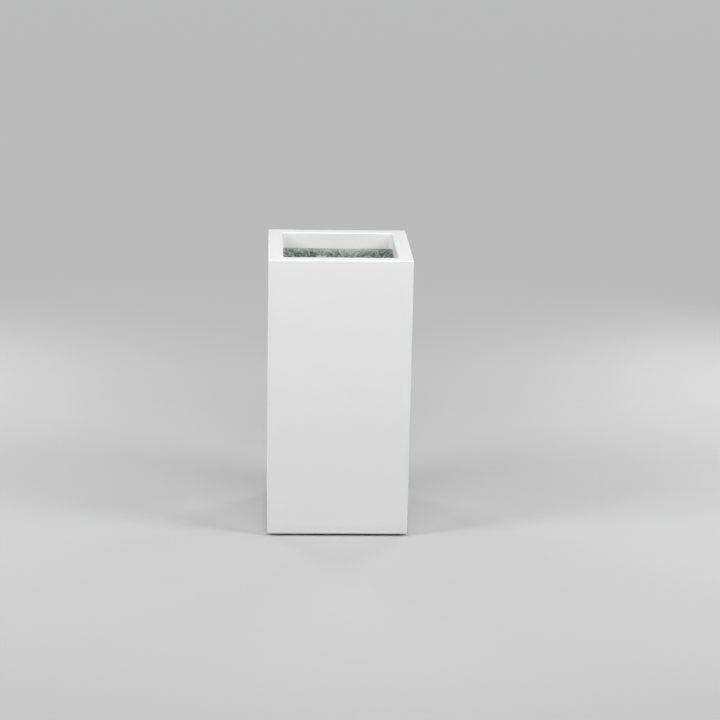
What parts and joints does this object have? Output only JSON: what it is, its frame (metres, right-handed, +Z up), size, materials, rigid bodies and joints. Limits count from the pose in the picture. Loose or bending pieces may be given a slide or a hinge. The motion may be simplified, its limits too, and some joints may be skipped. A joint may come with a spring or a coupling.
{
  "type": "floor planter",
  "caption": "Tall square floor planter with a flat boxed rim, an open hollow for soil or a liner, a pull-out drain bung and low glides.",
  "frame": {"origin": "on the ground, under the middle of the planter", "axes": "+Z up along the planter's height; the front faces -Y and +X is to the right of someone facing the front"},
  "size_m": [0.3, 0.3, 0.605],
  "materials": {
    "painted_laminate": "satin white paint on glass fibre",
    "raw_laminate": "bare chopped strand laminate",
    "bonding_paste": "filled resin paste",
    "batten_timber": "sawn softwood",
    "floor_plywood": "plain plywood",
    "bung_rubber": "moulded rubber",
    "glide_plastic": "moulded plastic",
    "screw_steel": "zinc plated"
  },
  "bodies": {
    "planter": {"shell": "painted_laminate", "rim": "painted_laminate", "rim_lining": "raw_laminate", "rim_tape": "raw_laminate", "rim_batten_front": "batten_timber", "rim_batten_back": "batten_timber", "rim_batten_left": "batten_timber", "rim_batten_right": "batten_timber", "base_board": "floor_plywood", "floor_laminate": "raw_laminate", "floor_tape": "raw_laminate", "floor_paste": "bonding_paste", "glides": "glide_plastic", "glide_screws": "screw_steel"},
    "bung": {"drain_bung": "bung_rubber"}
  },
  "joints": [
    {"name": "bung_lift", "type": "slide", "parent": "planter", "child": "bung", "axis": [0, 0, 1], "range_m": [0, 0.62]}
  ]
}
